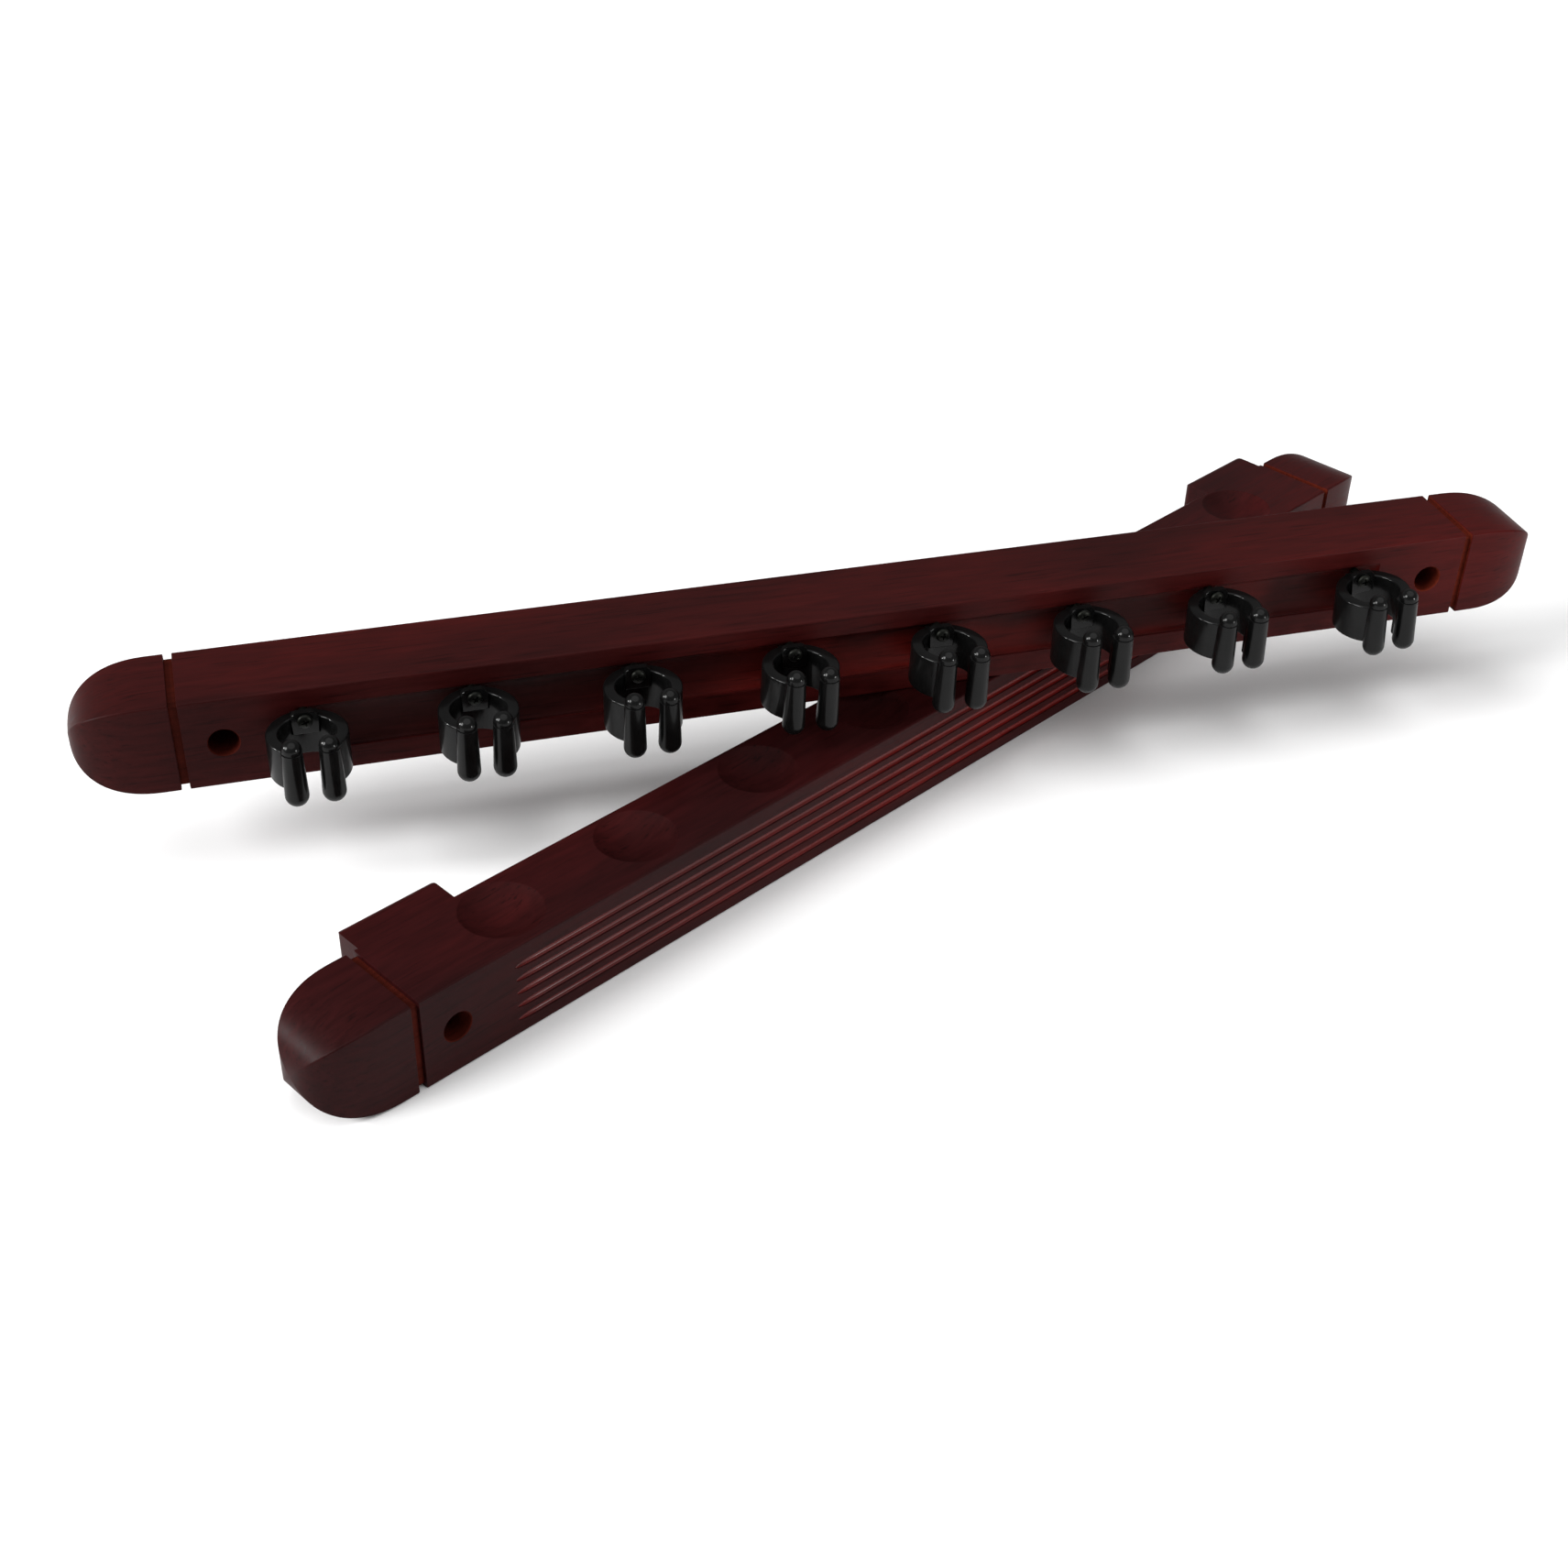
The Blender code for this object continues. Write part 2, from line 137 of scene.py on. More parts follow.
RECESS_HALF_WIDTH = 0.42 * MM
RECESS_DEPTH = 1.25 * MM
RECESS_FLOOR_REACH = 0.4
RECESS_FLOOR_WIDTH = 0.7
SCREW_TURN = math.radians(20)
SCREW_TURN_STEP = math.radians(37)
SCREW_SHARP = math.radians(35)

# camera
CAMERA_PLACE = Vector((-0.5666, -0.50501, 0.5223))
CAMERA_TURN = math.radians(45.46)
CAMERA_DOWN = math.radians(35.93)
CAMERA_ROLL = math.radians(1.55)
CAMERA_LENS = 48.42
CAMERA_SENSOR = 36

# materials and studio
DRIFT_SCALE = (5.0, 16.0, 16.0)
BAND_SCALE = (6.0, 60.0, 60.0)
PORE_SCALE = (40.0, 900.0, 900.0)
EVEN_SCALE = (1.0, 1.0, 1.0)
BOX_TARGET = Vector((0, 0, 0.05))
BOX_DISTANCE = 1.5
ROOM_LIGHT = 0.28
ROOM_SEEN = 1.0
FLOOR_HALF = 6.0


# ---- node helpers

def new_material(name):
    made = bpy.data.materials.new(name)
    made.use_nodes = True
    return made, made.node_tree, made.node_tree.nodes["Principled BSDF"]


def node(tree, kind, **settings):
    made = tree.nodes.new(kind)
    for key, value in settings.items():
        if key in made.inputs:
            made.inputs[key].default_value = value
        else:
            setattr(made, key, value)
    return made


def stretched_coordinates(tree, scale):
    """Places within the piece, as store_own_place keeps them, scaled per axis; the grain runs along X."""
    coordinates = node(tree, "ShaderNodeAttribute", attribute_name="own_place")
    mapping = node(tree, "ShaderNodeMapping")
    mapping.inputs["Scale"].default_value = scale
    tree.links.new(coordinates.outputs["Vector"], mapping.inputs["Vector"])
    return mapping.outputs["Vector"]


def noise(tree, vector, scale, detail, roughness=0.55, distortion=0.0):
    made = node(tree, "ShaderNodeTexNoise", Scale=scale, Detail=detail, Roughness=roughness,
                Distortion=distortion)
    tree.links.new(vector, made.inputs["Vector"])
    return made.outputs["Fac"]


def ramp(tree, factor, *stops):
    made = node(tree, "ShaderNodeValToRGB")
    band = made.color_ramp
    while len(band.elements) < len(stops):
        band.elements.new(0.5)
    for element, (place, colour) in zip(band.elements, stops):
        element.position = place
        element.color = (*colour, 1.0)
    tree.links.new(factor, made.inputs["Fac"])
    return made.outputs["Color"]


def grey(value):
    return (value, value, value)


def multiply(tree, share, first, second):
    """First colour times the second, as far as share says."""
    made = node(tree, "ShaderNodeMix", data_type="RGBA", blend_type="MULTIPLY")
    made.inputs[0].default_value = share
    tree.links.new(first, made.inputs[6])
    tree.links.new(second, made.inputs[7])
    return made.outputs[2]


def bump(tree, shader, height, strength, distance):
    made = node(tree, "ShaderNodeBump", Strength=strength, Distance=distance)
    tree.links.new(height, made.inputs["Height"])
    tree.links.new(made.outputs["Normal"], shader.inputs["Normal"])


def wood(name, dark, middle, light, roughness, specular, pore_depth):
    """Straight-grained hardwood under stain, with drifting colour, thin pores, faint bands and a sheen."""
    made, tree, shader = new_material(name)
    long_grain = stretched_coordinates(tree, BAND_SCALE)
    pore_space = stretched_coordinates(tree, PORE_SCALE)
    broad = stretched_coordinates(tree, DRIFT_SCALE)
    drift = noise(tree, broad, scale=1.0, detail=3.0, roughness=0.5, distortion=0.3)
    bands = noise(tree, long_grain, scale=6.0, detail=6.0, roughness=0.6, distortion=0.6)
    pores = noise(tree, pore_space, scale=1.0, detail=2.0, roughness=0.5)
    stain = ramp(tree, drift, (0.30, dark), (0.52, middle), (0.72, light))
    streak = ramp(tree, bands, (0.35, grey(0.78)), (0.62, grey(1.12)))
    coloured = multiply(tree, 1.0, stain, streak)
    pore_shade = ramp(tree, pores, (0.30, grey(0.45)), (0.40, grey(1.0)))
    tree.links.new(multiply(tree, pore_depth, coloured, pore_shade), shader.inputs["Base Color"])
    dullness = ramp(tree, bands, (0.2, grey(roughness - 0.05)), (0.8, grey(roughness + 0.07)))
    tree.links.new(dullness, shader.inputs["Roughness"])
    shader.inputs["Specular IOR Level"].default_value = specular
    relief = multiply(tree, 0.5, bands, pore_shade)
    bump(tree, shader, relief, strength=0.18, distance=0.2 * MM)
    return made


def plastic():
    """Black moulding: a dull, faintly uneven body under a thin glossy skin."""
    made, tree, shader = new_material("black_plastic_fine")
    space = stretched_coordinates(tree, EVEN_SCALE)
    skin = noise(tree, space, scale=900.0, detail=3.0)
    blotch = noise(tree, space, scale=120.0, detail=2.0)
    black = ramp(tree, blotch, (0.3, grey(0.0020)), (0.7, grey(0.0034)))
    tree.links.new(black, shader.inputs["Base Color"])
    dullness = ramp(tree, blotch, (0.3, grey(0.34)), (0.7, grey(0.42)))
    tree.links.new(dullness, shader.inputs["Roughness"])
    shader.inputs["Specular IOR Level"].default_value = 0.03
    shader.inputs["Coat Weight"].default_value = 0.30
    shader.inputs["Coat Roughness"].default_value = 0.13
    bump(tree, shader, skin, strength=0.12, distance=0.08 * MM)
    return made


def steel():
    """Dark plated steel, slightly green and unevenly dull."""
    made, tree, shader = new_material("dark_steel_fine")
    space = stretched_coordinates(tree, EVEN_SCALE)
    patches = noise(tree, space, scale=700.0, detail=4.0)
    plating = ramp(tree, patches, (0.3, (0.003, 0.0033, 0.0026)), (0.7, (0.014, 0.015, 0.012)))
    tree.links.new(plating, shader.inputs["Base Color"])
    dullness = ramp(tree, patches, (0.3, grey(0.32)), (0.7, grey(0.5)))
    tree.links.new(dullness, shader.inputs["Roughness"])
    shader.inputs["Metallic"].default_value = 0.85
    bump(tree, shader, patches, strength=0.2, distance=0.1 * MM)
    return made


# ---- mesh helpers

def linked(name, mesh):
    made = bpy.data.objects.new(name, mesh)
    bpy.context.scene.collection.objects.link(made)
    return made


def mesh_of(name, bm):
    bmesh.ops.remove_doubles(bm, verts=bm.verts, dist=0.0005 * MM)
    bmesh.ops.recalc_face_normals(bm, faces=bm.faces)
    mesh = bpy.data.meshes.new(name)
    bm.to_mesh(mesh)
    bm.free()
    return mesh


def box(name, low, high):
    bm = bmesh.new()
    bmesh.ops.create_cube(bm, size=1.0)
    low = Vector(low)
    high = Vector(high)
    for vert in bm.verts:
        vert.co = low + (vert.co + Vector((0.5, 0.5, 0.5))) * (high - low)
    return linked(name, mesh_of(name, bm))


def round_edges(made, width, segments, behind=-math.inf):
    """Round those edges of a box that lie wholly behind a given y."""
    bm = bmesh.new()
    bm.from_mesh(made.data)
    edges = [edge for edge in bm.edges if all(vert.co.y > behind for vert in edge.verts)]
    bmesh.ops.bevel(bm, geom=edges, offset=width, segments=segments, profile=0.5, affect="EDGES")
    bm.to_mesh(made.data)
    bm.free()


def turned(name, profile, segments):
    """Solid of revolution about Z through (radius, height) points.

    A profile that stays clear of Z ends where it began.
    """
    bm = bmesh.new()
    rows = []
    for radius, height in profile:
        if radius == 0:
            rows.append([bm.verts.new((0, 0, height))] * segments)
            continue
        angles = [2 * math.pi * k / segments for k in range(segments)]
        rows.append([bm.verts.new((radius * math.cos(a), radius * math.sin(a), height)) for a in angles])
    if profile[0] == profile[-1]:
        rows[-1] = rows[0]
    for row, following in zip(rows, rows[1:]):
        for i in range(segments):
            j = (i + 1) % segments
            corners = []
            for vert in (row[i], row[j], following[j], following[i]):
                if vert not in corners:
                    corners.append(vert)
            bm.faces.new(corners)
    loose = [vert for vert in bm.verts if not vert.link_faces]
    bmesh.ops.delete(bm, geom=loose, context="VERTS")
    return linked(name, mesh_of(name, bm))


def cut(target, operand, operation="DIFFERENCE", matter=None):
    """Apply one Boolean and remove its operand; matter is the material the cut leaves on its walls."""
    if matter:
        operand.data.materials.clear()
        operand.data.materials.append(matter)
    modifier = target.modifiers.new("boolean", "BOOLEAN")
    modifier.operation = operation
    modifier.solver = "EXACT"
    modifier.material_mode = "TRANSFER"
    modifier.object = operand
    apply_modifiers(target)
    spare = operand.data
    bpy.data.objects.remove(operand)
    bpy.data.meshes.remove(spare)


def apply_modifiers(target):
    depsgraph = bpy.context.evaluated_depsgraph_get()
    mesh = bpy.data.meshes.new_from_object(target.evaluated_get(depsgraph))
    old = target.data
    target.modifiers.clear()
    target.data = mesh
    bpy.data.meshes.remove(old)


def store_own_place(mesh):
    """Keep each point's place within the piece for the materials, before the mesh is moved."""
    stored = mesh.attributes.new("own_place", "FLOAT_VECTOR", "POINT")
    for point, vertex in zip(stored.data, mesh.vertices):
        point.vector = vertex.co


def smooth(target):
    """Smooth shading that keeps broad flat faces flat."""
    target.data.shade_smooth()
    target.data.set_sharp_from_angle(angle=WOOD_SHARP)
    weighted = target.modifiers.new("weighted", "WEIGHTED_NORMAL")
    weighted.keep_sharp = True
    weighted.weight = 80


# ---- rails

def eased_section(x, depth, height, share, face, arris):
    """Ring of points round the rail: the front face with its relief, then the four eased edges."""
    half_y = depth / 2 * share
    half_z = height / 2 * share
    points = []
    for place, sunk in face:
        points.append((x, -half_y + sunk, place * half_z))
    for side_y, side_z, start in ((-1, 1, 180), (1, 1, 90), (1, -1, 0), (-1, -1, -90)):
        for k in range(ARRIS_STEPS + 1):
            angle = math.radians(start - 90 / ARRIS_STEPS * k)
            y = side_y * (half_y - arris) + arris * math.cos(angle)
            z = side_z * (half_z - arris) + arris * math.sin(angle)
            points.append((x, y, z))
    return points


def rail_stations(body):
    """Places along the rail from its first groove to its tip, as (x, inset, share, arris)."""
    groove_end = body / 2 + GROOVE_WIDTH
    eased = GROOVE_EASE * 0.3
    stations = []
    for step, inset in ((-GROOVE_EASE, 0.0), (-eased, eased), (0.0, GROOVE_EASE)):
        stations.append((body / 2 + step, inset, 1.0, ARRIS))
    stations.append((body / 2, GROOVE_DEPTH, 1.0, ARRIS / 2))
    stations.append((groove_end, GROOVE_DEPTH, 1.0, ARRIS / 2))
    for step, inset in ((0.0, GROOVE_EASE), (eased, eased), (GROOVE_EASE, 0.0)):
        stations.append((groove_end + step, inset, 1.0, ARRIS))
    for k in range(NOSE_STEPS + 1):
        angle = NOSE_LAST * k / NOSE_STEPS
        share = math.cos(angle) ** (2 / NOSE_FULLNESS)
        along = (math.sin(angle) / math.sin(NOSE_LAST)) ** (2 / NOSE_FULLNESS)
        arris = min(ARRIS * (0.35 + 0.65 * share), 6 * MM * share)
        stations.append((groove_end + NOSE_STRAIGHT + NOSE_CURVE * along, 0.0, share, arris))
    return stations


def rail_mesh(name, depth, height, body, face_at, inner_places, woods):
    """Fine rail about its own middle; face_at gives the front face's relief at a place along it.

    The three woods are for the rail's skin, its grooves and what is sunk deeper than RELIEF_SEEN.
    """
    half = [(x, 0.0, 1.0, ARRIS) for x in inner_places] + rail_stations(body)
    stations = [(-x, inset, share, arris) for x, inset, share, arris in reversed(half)] + half
    plain_face = face_at(body)
    rings = []
    for x, inset, share, arris in stations:
        face = face_at(x) if abs(x) <= inner_places[-1] else plain_face
        rings.append(eased_section(x, depth - 2 * inset, height - 2 * inset, share, face, arris))
    bm = bmesh.new()
    rows = [[bm.verts.new(point) for point in ring] for ring in rings]
    count = len(rings[0])
    sunk_limit = -depth / 2 + RELIEF_SEEN
    for row, following in zip(rows, rows[1:]):
        middle = abs(row[0].co.x + following[0].co.x) / 2
        in_groove = body / 2 < middle < body / 2 + GROOVE_WIDTH
        for i in range(count):
            j = (i + 1) % count
            made = bm.faces.new((row[i], row[j], following[j], following[i]))
            sunk = made.calc_center_median().y > sunk_limit
            in_relief = sunk and middle < body / 2 - 1 * MM and i < len(plain_face) - 1
            made.material_index = 1 if in_groove else 2 if in_relief else 0
    bm.faces.new(rows[0])
    bm.faces.new(rows[-1])
    made = linked(name, mesh_of(name, bm))
    for matter in woods:
        made.data.materials.append(matter)
    return made


def run_in(distance, length):
    """How far a cutter has sunk at a distance from where it starts: a quarter-round entry."""
    share = max(0.0, min(1.0, distance / length))
    return math.sqrt(1 - (1 - share) ** 2)


def runout_places(start, length, count):
    """Places along half a rail, close together where a cutter runs out."""
    spaced = [start - length * (k / count) ** RUNOUT_CROWDING for k in range(count + 1)]
    return [INNERMOST_PLACE] + sorted(spaced)


def fluted_face(height, body):
    """Front face with its row of flutes: a section for each place along the rail.

    A section is a row of (height, depth) points, with heights in shares of half the rail's height.
    """
    half_z = height / 2
    offsets = [-offset for offset in reversed(FLUTE_OFFSETS[1:])] + list(FLUTE_OFFSETS)

    def face(x):
        sunk = run_in(body / 2 - FLUTE_START - abs(x), FLUTE_RUNOUT)
        wide = max(sunk, FLUTE_NARROWEST)
        points = []
        for i in range(FLUTE_COUNT):
            centre = FLUTE_LOWEST + i * FLUTE_PITCH - half_z
            for offset in offsets:
                inside = max(0.0, 1 - abs(offset) ** FLUTE_FLATNESS) ** FLUTE_STEEPNESS
                lip = FLUTE_LIP * min(1.0, (FLUTE_REACH - abs(offset)) / (FLUTE_REACH - 1))
                depth = FLUTE_DEPTH * sunk * min(1.0, inside + lip)
                points.append(((centre + offset * FLUTE_HALF * wide) / half_z, depth))
        return points

    return face


def channel_face(height, body):
    """Front face with its one wide channel: sections like those of the fluted face."""
    half_z = height / 2
    half = (CHANNEL_HIGH - CHANNEL_LOW) / 2
    low = CHANNEL_LOW - half_z
    middle = low + half
    high = middle + half
    deepening = CHANNEL_DEPTH - CHANNEL_STEP / 2

    def face(x):
        limit = body / 2 - CHANNEL_START
        sunk = run_in(limit + (CHANNEL_STOP_EXTRA if x > 0 else 0) - abs(x), CHANNEL_RUNOUT)
        section = [(low - 0.25 * MM, 0.0), (low, 0.06 * MM), (low + 0.05 * MM, CHANNEL_STEP * 0.8),
                   (low + 0.6 * MM, CHANNEL_STEP)]
        for k in range(1, CHANNEL_STEPS):
            angle = math.pi * k / CHANNEL_STEPS
            depth = CHANNEL_STEP / 2 + deepening * math.sin(angle) ** CHANNEL_FULLNESS
            section.append((middle - half * CHANNEL_FLOOR * math.cos(angle), depth))
        section += [(high, CHANNEL_STEP / 2), (high + 0.05 * MM, 0.05 * MM), (high + 0.3 * MM, 0.0)]
        return [(z / half_z, depth * sunk) for z, depth in section]

    return face


def bore_cutter(x, depth):
    """Counterbore with a faint chamfer, and the shank hole behind it."""
    wide = BORE_RADIUS + BORE_CHAMFER
    through = -depth - CUTTER_OVERRUN
    profile = [(0, CUTTER_OVERRUN), (wide, CUTTER_OVERRUN), (wide, 0.0), (BORE_RADIUS, -BORE_CHAMFER),
               (BORE_RADIUS, -BORE_DEPTH), (SHANK_RADIUS, -BORE_DEPTH), (SHANK_RADIUS, through),
               (0, through)]
    made = turned("bore", profile, segments=64)
    made.data.transform(Matrix.Translation((x, -depth / 2, 0)) @ Matrix.Rotation(math.radians(90), 4, "X"))
    return made


def cup_cutter():
    """Shallow dish with a rounded rim that runs out into the top face."""
    sphere = (CUP_RADIUS ** 2 + CUP_DEPTH ** 2) / (2 * CUP_DEPTH)
    slope = math.asin(CUP_RADIUS / sphere)
    rim = CUP_RADIUS + CUP_RIM * math.tan(slope / 2)
    profile = [(0, 1 * MM), (rim, 1 * MM)]
    for k in range(CUP_RIM_STEPS + 1):
        angle = CUP_RIM_START + (slope - CUP_RIM_START) * k / CUP_RIM_STEPS
        profile.append((rim - CUP_RIM * math.sin(angle), -CUP_RIM * (1 - math.cos(angle))))
    inner = math.asin(profile[-1][0] / sphere)
    for k in range(CUP_STEPS - 1, -1, -1):
        angle = inner * k / CUP_STEPS
        profile.append((sphere * math.sin(angle), sphere - CUP_DEPTH - sphere * math.cos(angle)))
    return turned("cup", profile, segments=96)


def body_length(rail_length):
    """Length of a rail between its two grooves."""
    return rail_length - 2 * (GROOVE_WIDTH + NOSE_STRAIGHT + NOSE_CURVE)


def cut_bores(made, depth, body, matter):
    for x in (BORE_FROM_END - body / 2, body / 2 - BORE_FROM_END):
        cut(made, bore_cutter(x, depth), matter=matter)


def cup_rail(woods, cup_wood):
    low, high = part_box("cup_rail")
    size = high - low
    body = body_length(size.x)
    places = runout_places(body / 2 - FLUTE_START, FLUTE_RUNOUT, count=9)
    made = rail_mesh("cup_rail_fine", size.y, size.z, body, fluted_face(size.z, body), places, woods)
    for i in range(CUP_COUNT):
        cutter = cup_cutter()
        place = Vector((CUP_FIRST + i * CUP_PITCH - body / 2, CUP_FROM_FRONT - size.y / 2, size.z / 2))
        cutter.data.transform(Matrix.Translation(place))
        cut(made, cutter, matter=cup_wood)
    cut_bores(made, size.y, body, woods[1])
    put_in_place(made, Matrix.Translation((low + high) / 2), "cup_rail_set", "cup_rail")


def clip_rail(woods):
    """Make the clip rail and give back the frame of its body's lower front corner at the left end."""
    low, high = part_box("clip_rail")
    rail_low, rail_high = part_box("cup_rail")
    depth = (rail_high - rail_low).y
    height = (high - low).z
    body = body_length((rail_high - rail_low).x)
    places = runout_places(body / 2 - CHANNEL_START + CHANNEL_STOP_EXTRA,
                           CHANNEL_RUNOUT + CHANNEL_STOP_EXTRA, count=12)
    made = rail_mesh("clip_rail_fine", depth, height, body, channel_face(height, body), places, woods)
    cut_bores(made, depth, body, woods[1])
    place = Matrix.Translation((low + high) / 2) @ Matrix.Rotation(CLIP_RAIL_TURN, 4, "Z")
    put_in_place(made, place, "clip_rail_set", "clip_rail")
    return place @ Matrix.Translation((-body / 2, -depth / 2, -height / 2))


def spacer(name, woods):
    """Block behind the cup rail, made about the rail's middle so that the grain runs on from the rail.

    Its front runs in under the rail's eased back edge, so that their tops join.
    """
    low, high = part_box(name)
    rail_low, rail_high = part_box("cup_rail")
    middle = (rail_low + rail_high) / 2
    low.y = rail_high.y - ARRIS
    made = box(name + "_fine", low - middle, high - middle)
    round_edges(made, SPACER_ROUND, SPACER_STEPS, (rail_high - middle).y)
    made.data.materials.append(woods[0])
    bore_x = math.copysign(body_length((rail_high - rail_low).x) / 2 - BORE_FROM_END, (low - middle).x)
    reach = 60 * MM
    profile = [(0, reach), (SHANK_RADIUS, reach), (SHANK_RADIUS, -reach), (0, -reach)]
    hole = turned("hole", profile, segments=32)
    hole.data.transform(Matrix.Translation((bore_x, 0, 0)) @ Matrix.Rotation(math.radians(90), 4, "X"))
    cut(made, hole, matter=woods[1])
    put_in_place(made, Matrix.Translation(middle), "cup_rail_set", name)


def put_in_place(piece, place, body, replaced):
    """Finish a wooden piece and move it from where it was made to its place."""
    store_own_place(piece.data)
    piece.data.transform(place)
    smooth(piece)
    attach(piece, body)
    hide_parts(replaced)


# ---- clips and screws

def arc(centre, radius, start, stop, count):
    """Points on an arc, in degrees from straight up, as (radius, height)."""
    points = []
    for k in range(count + 1):
        angle = math.radians(start + (stop - start) * k / count)
        points.append((centre[0] + radius * math.sin(angle), centre[1] + radius * math.cos(angle)))
    return points


def prong(side):
    """Upright prong with a ball top, a fine seam under it, and a thicker round foot."""
    top = PRONG_TOP_RADIUS
    foot = PRONG_FOOT_RADIUS
    waist = top - PRONG_SEAM_DEPTH
    profile = [(0, PRONG_HIGH)] + arc((0, PRONG_HIGH - top), top, 9, 90, 9)
    profile += [(top, PRONG_SEAM + 0.5 * MM), (waist, PRONG_SEAM + 0.3 * MM),
                (waist, PRONG_SEAM - 0.2 * MM), (top + 0.06 * MM, PRONG_SEAM - 0.4 * MM)]
    profile += arc((0, PRONG_LOW + foot), foot, 90, 171, 9) + [(0, PRONG_LOW)]
    made = turned("prong", profile, segments=48)
    made.data.transform(Matrix.Translation((side * PRONG_X, PRONG_Y, 0)))
    return made


def screw_plate(half):
    """Upright plate with a round-shouldered top and softened edges, which the screw goes through."""
    shoulder = []
    for degrees in range(0, 91, 10):
        angle = math.radians(degrees)
        shoulder.append((half - PLATE_ROUND + PLATE_ROUND * math.cos(angle),
                         PLATE_HIGH - PLATE_ROUND + PLATE_ROUND * math.sin(angle)))
    mirrored = [(-x, z) for x, z in reversed(shoulder)]
    outline = [(half, PLATE_LOW)] + shoulder + mirrored + [(-half, PLATE_LOW)]
    bm = bmesh.new()
    front = [bm.verts.new((x, PLATE_FRONT, z)) for x, z in outline]
    back = [bm.verts.new((x, PLATE_BACK, z)) for x, z in outline]
    face = bm.faces.new(front)
    bm.faces.new(back)
    for i in range(len(outline)):
        j = (i + 1) % len(outline)
        bm.faces.new((front[i], front[j], back[j], back[i]))
    bmesh.ops.bevel(bm, geom=face.edges[:], offset=PLATE_EDGE, segments=3, profile=0.5, affect="EDGES")
    return linked("plate", mesh_of("plate", bm))


def clip_mesh(matter):
    """One clip in its screw's frame: ring open to the front, prongs, back pad and screw plate."""
    soft = RING_ROUND
    profile = arc((RING_INNER + soft, RING_HIGH - soft), soft, -90, 0, 4)
    profile += arc((RING_OUTER - soft, RING_HIGH - soft), soft, 0, 90, 4)
    profile += arc((RING_OUTER - soft, RING_LOW + soft), soft, 90, 180, 4)
    profile += arc((RING_INNER + soft, RING_LOW + soft), soft, 180, 270, 4)
    ring = turned("ring", profile + profile[:1], segments=96)
    ring.data.transform(Matrix.Translation((0, RING_Y, 0)))
    half = PLATE_WIDTH / 2
    mouth = PRONG_X - PRONG_TOP_RADIUS / 2
    opening = box("mouth", (-mouth, RING_Y - 2 * RING_OUTER, 2 * RING_LOW), (mouth, RING_Y, 2 * PRONG_HIGH))
    cut(ring, opening)
    pad = box("pad", (-half, PAD_FRONT, PAD_LOW), (half, PAD_BACK, PAD_HIGH))
    round_edges(pad, PAD_ROUND, 2)
    cut(ring, pad, "UNION")
    cut(ring, screw_plate(half), "UNION")
    front = 30 * MM
    back = -15 * MM
    profile = [(0, front), (SCREW_RADIUS, front), (SCREW_RADIUS, back), (0, back)]
    hole = turned("hole", profile, segments=32)
    hole.data.transform(Matrix.Rotation(math.radians(-90), 4, "X"))
    cut(ring, hole)
    for side in (-1, 1):
        cut(ring, prong(side), "UNION")
    return pattern(ring, matter, CLIP_SHARP)


def pattern(made, matter, sharp):
    """The finished mesh of a piece that is made once and used many times."""
    mesh = made.data
    bpy.data.objects.remove(made)
    mesh.materials.clear()
    mesh.materials.append(matter)
    store_own_place(mesh)
    mesh.shade_smooth()
    mesh.set_sharp_from_angle(angle=sharp)
    return mesh


def screw_mesh(matter):
    """Pan head with a deep cross recess; the axis is Z with the head up."""
    under = -PLATE_FRONT + HEAD_GAP
    top = under + HEAD_THICK
    shank = SCREW_RADIUS - 0.05 * MM
    profile = [(0, top)]
    for k in range(HEAD_STEPS - 1, 0, -1):
        angle = math.radians(90 * k / HEAD_STEPS)
        profile.append((HEAD_RADIUS * (HEAD_FLAT + (1 - HEAD_FLAT) * math.cos(angle)),
                        under + HEAD_EDGE + (HEAD_THICK - HEAD_EDGE) * math.sin(angle)))
    profile += [(HEAD_RADIUS, under + HEAD_EDGE), (HEAD_RADIUS, under + 0.1 * MM),
                (HEAD_RADIUS - 0.1 * MM, under), (shank, under), (shank, under - SCREW_LENGTH + 3 * MM),
                (0, under - SCREW_LENGTH)]
    body = turned("screw", profile, segments=64)
    for turn in (0, 90):
        slot = tapered_slot(top)
        slot.data.transform(Matrix.Rotation(math.radians(turn), 4, "Z"))
        cut(body, slot)
    return pattern(body, matter, SCREW_SHARP)


def tapered_slot(top):
    """Blade shape of the cross recess: long at the surface, short at its floor."""
    made = box("slot", (-RECESS_REACH, -RECESS_HALF_WIDTH, top - RECESS_DEPTH),
               (RECESS_REACH, RECESS_HALF_WIDTH, top + 1 * MM))
    for vert in made.data.vertices:
        if vert.co.z < top:
            vert.co.x *= RECESS_FLOOR_REACH
            vert.co.y *= RECESS_FLOOR_WIDTH
    return made


def clips_and_screws(rail_frame, black, metal):
    clip_pattern = clip_mesh(black)
    screw_pattern = screw_mesh(metal)
    for i, (place, roll, drop) in enumerate(zip(CLIP_PLACES, CLIP_ROLLS, CLIP_DROPS)):
        axis = rail_frame @ Matrix.Translation((place * MM, 0, CLIP_HEIGHT - drop * MM))
        clip = linked("clip_%d_fine" % (i + 1), clip_pattern.copy())
        clip.data.transform(axis @ Matrix.Rotation(math.radians(-roll), 4, "Y"))
        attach(clip, "clip_%d_body" % (i + 1))
        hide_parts("clip_%d" % (i + 1))
        screw = linked("screw_%d_fine" % (i + 1), screw_pattern.copy())
        screw.data.transform(axis @ Matrix.Rotation(math.radians(90), 4, "X")
                             @ Matrix.Rotation(SCREW_TURN + SCREW_TURN_STEP * i, 4, "Z"))
        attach(screw, "clip_rail_set")
        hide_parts("screw_%d" % (i + 1))


# ---- studio

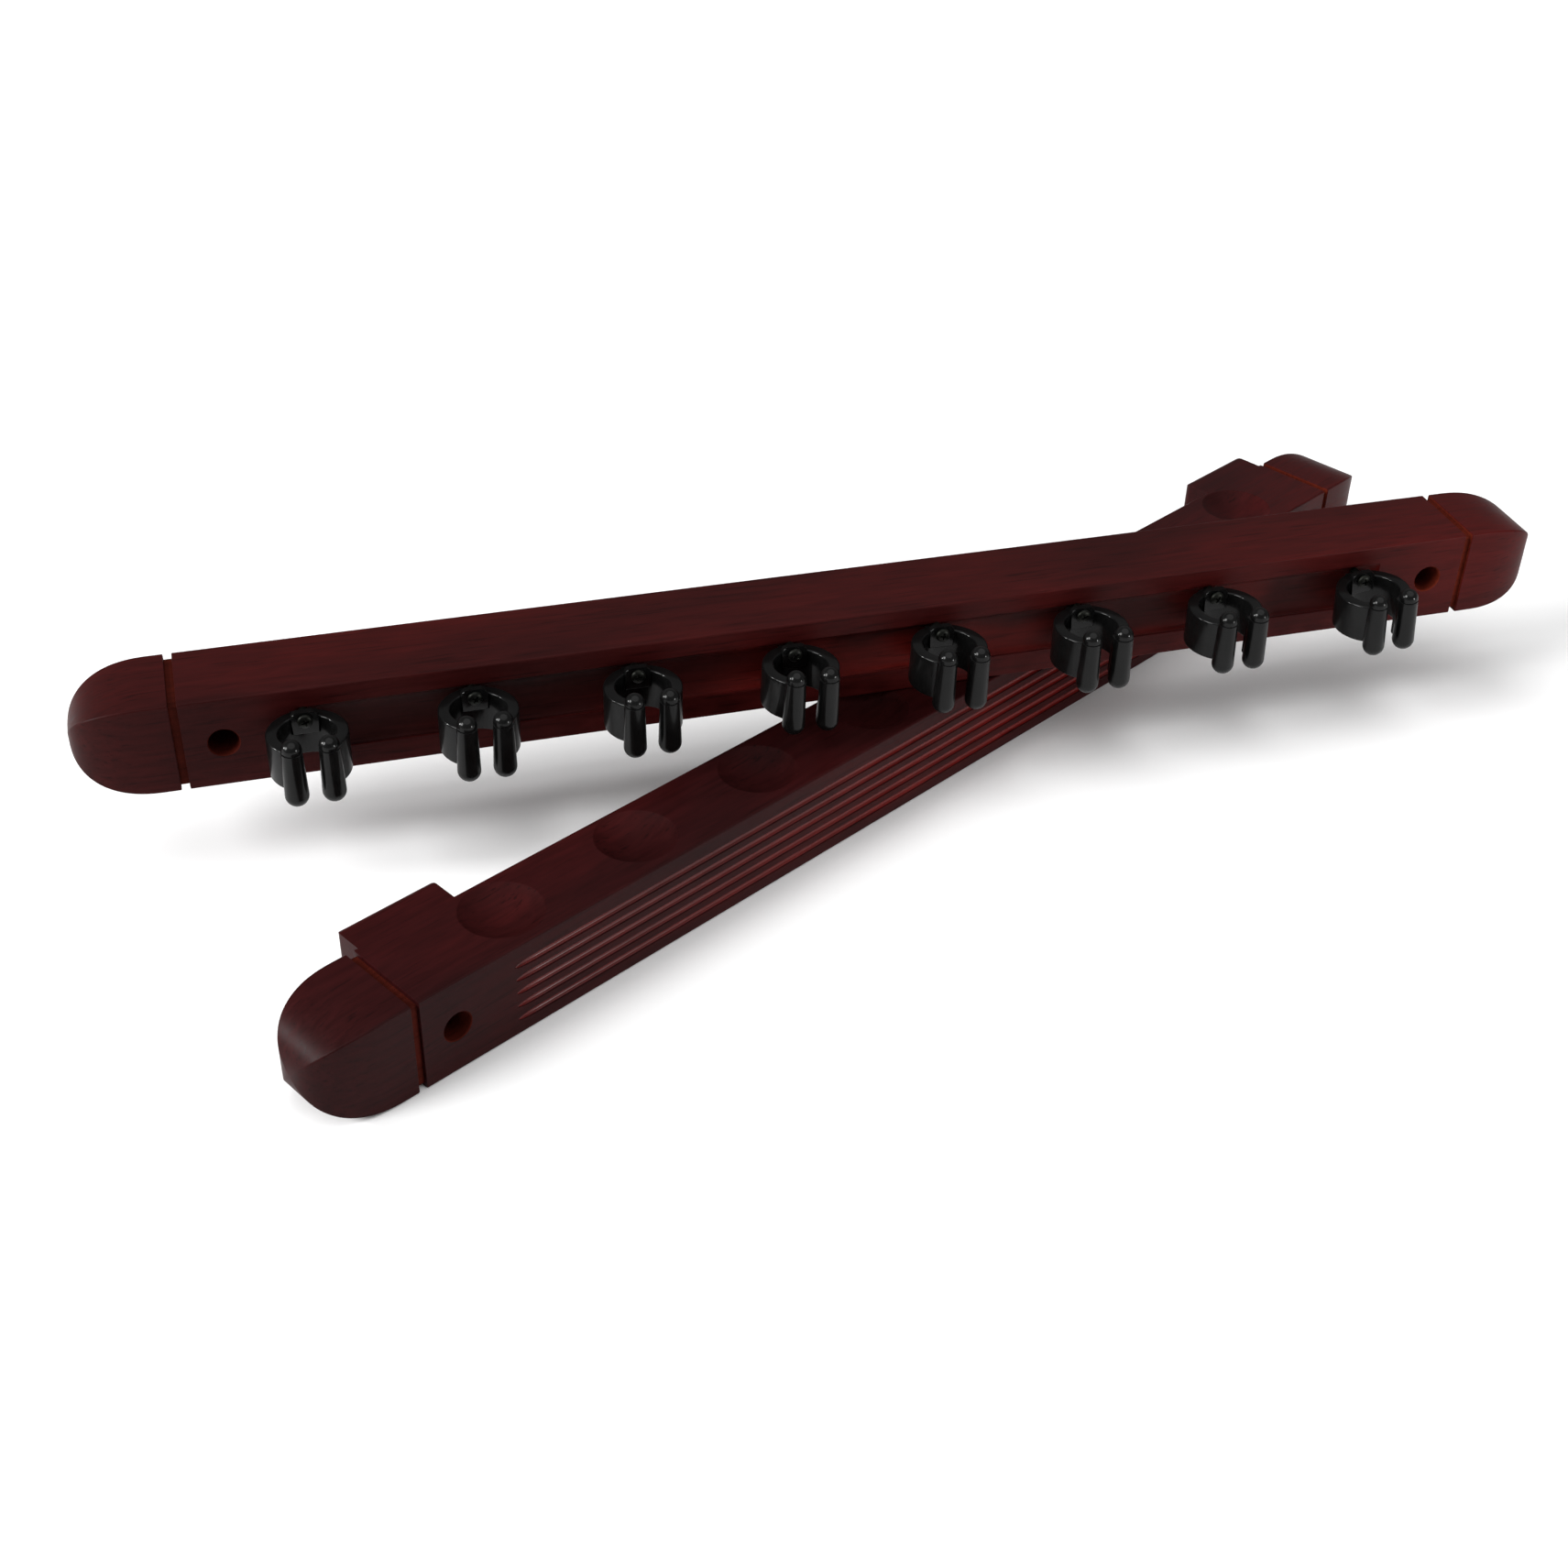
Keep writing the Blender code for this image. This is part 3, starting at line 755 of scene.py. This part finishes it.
def camera():
    data = bpy.data.cameras.new("camera")
    made = linked("camera", data)
    data.sensor_width = CAMERA_SENSOR
    data.lens = CAMERA_LENS
    level = math.cos(CAMERA_DOWN)
    forward = Vector((math.sin(CAMERA_TURN) * level, math.cos(CAMERA_TURN) * level, -math.sin(CAMERA_DOWN)))
    facing = forward.to_track_quat("-Z", "Y").to_matrix().to_4x4()
    made.matrix_world = Matrix.Translation(CAMERA_PLACE) @ facing @ Matrix.Rotation(CAMERA_ROLL, 4, "Z")
    bpy.context.scene.camera = made


def softbox(name, direction, width, height, power):
    data = bpy.data.lights.new(name, "AREA")
    data.shape = "RECTANGLE"
    data.size = width
    data.size_y = height
    data.energy = power
    made = linked(name, data)
    place = BOX_TARGET + Vector(direction).normalized() * BOX_DISTANCE
    facing = Vector(direction).to_track_quat("Z", "Y").to_matrix().to_4x4()
    made.matrix_world = Matrix.Translation(place) @ facing


def sun(name, direction, strength, spread):
    """Even light coming from a direction; its spread is in degrees."""
    light = bpy.data.lights.new(name, "SUN")
    light.energy = strength
    light.angle = math.radians(spread)
    made = linked(name, light)
    made.rotation_euler = Vector(direction).to_track_quat("Z", "Y").to_euler()


def studio():
    """Two small boxes for the highlights, two wide suns, and a room that is white where it is seen."""
    softbox("left_box", (-0.78, 0.585, 0.32), width=0.15, height=0.21, power=10)
    softbox("right_box", (0.24, -0.97, 0.16), width=0.13, height=0.18, power=7)
    sun("overhead", (0, -0.14, 0.99), strength=1.5, spread=75)
    sun("window", (-0.80, 0.25, 0.55), strength=2.7, spread=25)
    world = bpy.data.worlds.new("world")
    bpy.context.scene.world = world
    world.use_nodes = True
    tree = world.node_tree
    background = tree.nodes["Background"]
    background.inputs["Color"].default_value = (1, 1, 1, 1)
    rays = node(tree, "ShaderNodeLightPath")
    strength = node(tree, "ShaderNodeMapRange")
    strength.inputs["To Min"].default_value = ROOM_LIGHT
    strength.inputs["To Max"].default_value = ROOM_SEEN
    tree.links.new(rays.outputs["Is Camera Ray"], strength.inputs["Value"])
    tree.links.new(strength.outputs["Result"], background.inputs["Strength"])
    bpy.context.scene.view_settings.view_transform = "Standard"


def floor():
    bm = bmesh.new()
    bmesh.ops.create_grid(bm, x_segments=1, y_segments=1, size=FLOOR_HALF)
    made = linked("floor", mesh_of("floor", bm))
    matter, tree, shader = new_material("floor")
    shader.inputs["Base Color"].default_value = (0.92, 0.92, 0.92, 1)
    shader.inputs["Roughness"].default_value = 0.9
    made.data.materials.append(matter)


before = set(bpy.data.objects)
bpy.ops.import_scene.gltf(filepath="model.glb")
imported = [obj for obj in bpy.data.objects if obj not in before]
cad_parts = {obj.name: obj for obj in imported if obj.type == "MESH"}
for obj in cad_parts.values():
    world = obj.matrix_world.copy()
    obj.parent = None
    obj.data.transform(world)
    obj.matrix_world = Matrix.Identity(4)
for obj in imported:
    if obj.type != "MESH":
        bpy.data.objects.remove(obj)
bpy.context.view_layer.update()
camera()
studio()
floor()
CUP_RAIL_WOOD = wood("stained_wood_cup_rail", (0.014, 0.0025, 0.0027), (0.025, 0.0030, 0.0032),
                     (0.039, 0.0036, 0.0035), roughness=0.42, specular=0.060, pore_depth=0.75)
CLIP_RAIL_WOOD = wood("stained_wood_clip_rail", (0.019, 0.0028, 0.0028), (0.034, 0.0036, 0.0034),
                      (0.052, 0.0042, 0.0038), roughness=0.42, specular=0.055, pore_depth=0.75)
RAW_WOOD = wood("raw_groove_wood", (0.034, 0.0052, 0.0034), (0.060, 0.0084, 0.0048),
                (0.090, 0.0125, 0.0062), roughness=0.60, specular=0.02, pore_depth=0.5)
# Flute wood: the cut wood's own redder tone, brightened further as a painted highlight that stands in for
# the lit lower lips of the flutes.
FLUTE_WOOD_AND_PAINTED_HIGHLIGHT = wood("flute_wood", (0.060, 0.0046, 0.0042), (0.100, 0.0066, 0.0056),
                  (0.150, 0.0098, 0.0080), roughness=0.24, specular=0.26, pore_depth=0.6)
CHANNEL_WOOD = wood("channel_wood", (0.010, 0.0020, 0.0019), (0.024, 0.0028, 0.0025),
                    (0.120, 0.0066, 0.0046), roughness=0.46, specular=0.06, pore_depth=0.8)
CUP_WOOD = wood("cup_wood", (0.012, 0.0024, 0.0025), (0.025, 0.0034, 0.0035),
                (0.050, 0.0054, 0.0056), roughness=0.50, specular=0.04, pore_depth=0.95)
cup_rail((CUP_RAIL_WOOD, RAW_WOOD, FLUTE_WOOD_AND_PAINTED_HIGHLIGHT), CUP_WOOD)
spacer("spacer_left", (CUP_RAIL_WOOD, RAW_WOOD))
spacer("spacer_right", (CUP_RAIL_WOOD, RAW_WOOD))
clips_and_screws(clip_rail((CLIP_RAIL_WOOD, RAW_WOOD, CHANNEL_WOOD)), plastic(), steel())
